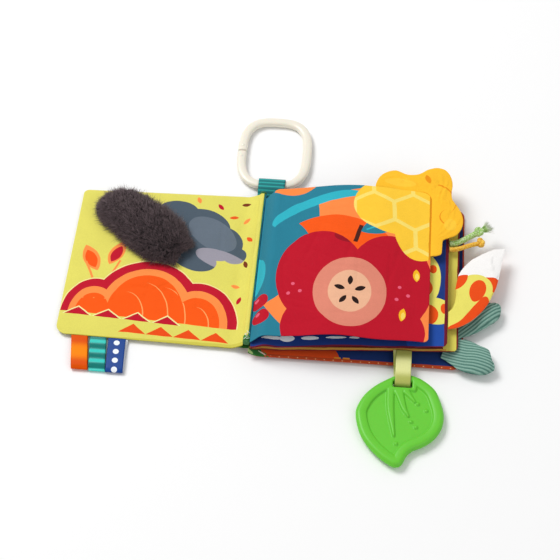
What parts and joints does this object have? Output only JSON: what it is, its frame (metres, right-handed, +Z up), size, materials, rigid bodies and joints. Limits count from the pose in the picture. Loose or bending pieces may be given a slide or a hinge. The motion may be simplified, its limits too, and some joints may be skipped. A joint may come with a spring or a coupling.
{
  "type": "crinkle cloth book",
  "caption": "Soft padded cloth book lying open, with crinkle leaves on one spine seam, lift flaps, ribbon tags, cords, a hanging ring and a leaf-shaped teether.",
  "frame": {"origin": "middle of the flat underside of the back cover, on the surface that the open book lies on", "axes": "+X across the open book from the front cover to the back cover, +Y from the teether towards the hanging ring, +Z up"},
  "size_m": [0.3539, 0.3415, 0.0311],
  "materials": {
    "yellow_cloth": "woven print cloth",
    "navy_cloth": "woven print cloth",
    "red_cloth": "woven print cloth",
    "maroon_cloth": "woven print cloth",
    "green_cloth": "woven cloth",
    "orange_cloth": "woven cloth",
    "gold_cloth": "woven print cloth",
    "white_cloth": "woven cloth",
    "sage_corduroy": "ribbed pile cloth",
    "plush": "long pile",
    "wadding": "polyester wadding",
    "crinkle_film": "thin crinkle film",
    "orange_ribbon": "satin ribbon",
    "teal_ribbon": "grosgrain ribbon",
    "blue_ribbon": "dotted ribbon",
    "pale_ribbon": "satin ribbon",
    "green_cord_yarn": "braided cord",
    "yellow_cord_yarn": "braided cord",
    "thread": "sewing thread",
    "ring_plastic": "smooth moulded",
    "teether_rubber": "soft moulded silicone"
  },
  "bodies": {
    "back_cover": {"back_cover_front_cloth": "navy_cloth", "back_cover_wadding": "wadding", "back_cover_crinkle_film": "crinkle_film", "back_cover_back_cloth": "orange_cloth", "spine_cord": "green_cloth", "spine_strip": "green_cloth", "spine_head_bartack": "thread", "spine_tail_bartack": "thread"},
    "leaf_c": {"leaf_c_front_cloth": "yellow_cloth", "leaf_c_wadding": "wadding", "leaf_c_crinkle_film": "crinkle_film", "leaf_c_back_cloth": "maroon_cloth"},
    "leaf_b": {"leaf_b_front_cloth": "navy_cloth", "leaf_b_wadding": "wadding", "leaf_b_crinkle_film": "crinkle_film", "leaf_b_back_cloth": "maroon_cloth", "green_cord": "green_cord_yarn", "green_cord_knot": "green_cord_yarn", "green_cord_tuft": "green_cord_yarn", "yellow_cord": "yellow_cord_yarn", "yellow_cord_knot": "yellow_cord_yarn"},
    "leaf_a": {"leaf_a_front_cloth": "red_cloth", "leaf_a_wadding": "wadding", "leaf_a_crinkle_film": "crinkle_film", "leaf_a_back_cloth": "navy_cloth", "corner_border_front_cloth": "gold_cloth", "corner_border_film": "crinkle_film", "corner_border_back_cloth": "gold_cloth"},
    "front_cover": {"front_cover_front_cloth": "yellow_cloth", "front_cover_wadding": "wadding", "front_cover_crinkle_film": "crinkle_film", "front_cover_back_cloth": "green_cloth"},
    "fur_flap": {"fur_flap_pile": "plush", "fur_flap_backing": "plush"},
    "tail_flap": {"tail_flap_front_cloth": "yellow_cloth", "tail_flap_wadding": "wadding", "tail_flap_back_cloth": "white_cloth"},
    "sprout_upper": {"sprout_upper_front_cloth": "sage_corduroy", "sprout_upper_stuffing": "wadding", "sprout_upper_back_cloth": "sage_corduroy"},
    "sprout_lower": {"sprout_lower_front_cloth": "sage_corduroy", "sprout_lower_stuffing": "wadding", "sprout_lower_back_cloth": "sage_corduroy"},
    "tag_orange": {"tag_orange": "orange_ribbon"},
    "tag_teal": {"tag_teal": "teal_ribbon"},
    "tag_blue": {"tag_blue": "blue_ribbon"},
    "ring_ribbon": {"ring_ribbon": "teal_ribbon"},
    "ring": {"ring": "ring_plastic"},
    "teether_ribbon": {"teether_ribbon": "pale_ribbon"},
    "teether": {"teether": "teether_rubber"}
  },
  "joints": [
    {"name": "leaf_c_turn", "type": "hinge", "parent": "back_cover", "child": "leaf_c", "pos_m": [-0.09, 0, 0.0105], "axis": [0, -1, 0], "range_deg": [0, 14]},
    {"name": "leaf_b_turn", "type": "hinge", "parent": "leaf_c", "child": "leaf_b", "pos_m": [-0.09, 0, 0.0105], "axis": [0, -1, 0], "range_deg": [0, 22]},
    {"name": "leaf_a_turn", "type": "hinge", "parent": "leaf_b", "child": "leaf_a", "pos_m": [-0.09, 0, 0.0105], "axis": [0, -1, 0], "range_deg": [0, 96]},
    {"name": "front_cover_close", "type": "hinge", "parent": "back_cover", "child": "front_cover", "pos_m": [-0.09, 0, 0.0105], "axis": [0, -1, 0], "range_deg": [-140, 0]},
    {"name": "fur_flap_lift", "type": "hinge", "parent": "front_cover", "child": "fur_flap", "pos_m": [-0.1508, 0.0112, 0.0065], "axis": [0.5681, 0.823, 0], "range_deg": [0, 45]},
    {"name": "tail_flap_lift", "type": "hinge", "parent": "leaf_b", "child": "tail_flap", "pos_m": [0.0659, -0.0385, 0.0163], "axis": [0, -1, 0], "range_deg": [0, 70]},
    {"name": "sprout_upper_sway", "type": "hinge", "parent": "back_cover", "child": "sprout_upper", "pos_m": [0.0635, -0.0605, 0.0066], "axis": [0, 0, 1], "range_deg": [0, 5]},
    {"name": "sprout_lower_sway", "type": "hinge", "parent": "back_cover", "child": "sprout_lower", "pos_m": [0.063, -0.0684, 0.0066], "axis": [0, 0, 1], "range_deg": [-8, 0]},
    {"name": "tag_orange_flip", "type": "hinge", "parent": "front_cover", "child": "tag_orange", "pos_m": [-0.2221, -0.07502, 0.004], "axis": [-1, 0, 0], "range_deg": [0, 80]},
    {"name": "tag_teal_flip", "type": "hinge", "parent": "front_cover", "child": "tag_teal", "pos_m": [-0.2072, -0.07537, 0.004], "axis": [-1, 0, 0], "range_deg": [0, 80]},
    {"name": "tag_blue_flip", "type": "hinge", "parent": "front_cover", "child": "tag_blue", "pos_m": [-0.192, -0.07573, 0.004], "axis": [-1, 0, 0], "range_deg": [0, 80]},
    {"name": "ring_ribbon_flip", "type": "hinge", "parent": "back_cover", "child": "ring_ribbon", "pos_m": [-0.08425, 0.0786, 0.0039], "axis": [1, 0, 0], "range_deg": [0, 40]},
    {"name": "ring_tilt", "type": "hinge", "parent": "ring_ribbon", "child": "ring", "pos_m": [-0.085, 0.0902, 0.0042], "axis": [1, 0, 0], "range_deg": [0, 25]},
    {"name": "teether_ribbon_flip", "type": "hinge", "parent": "leaf_c", "child": "teether_ribbon", "pos_m": [0.0328, -0.0754, 0.0105], "axis": [-1, 0, 0], "range_deg": [0, 35]},
    {"name": "teether_tilt", "type": "hinge", "parent": "teether_ribbon", "child": "teether", "pos_m": [0.0328, -0.0956, 0.0047], "axis": [-1, 0, 0], "range_deg": [0, 15]}
  ]
}
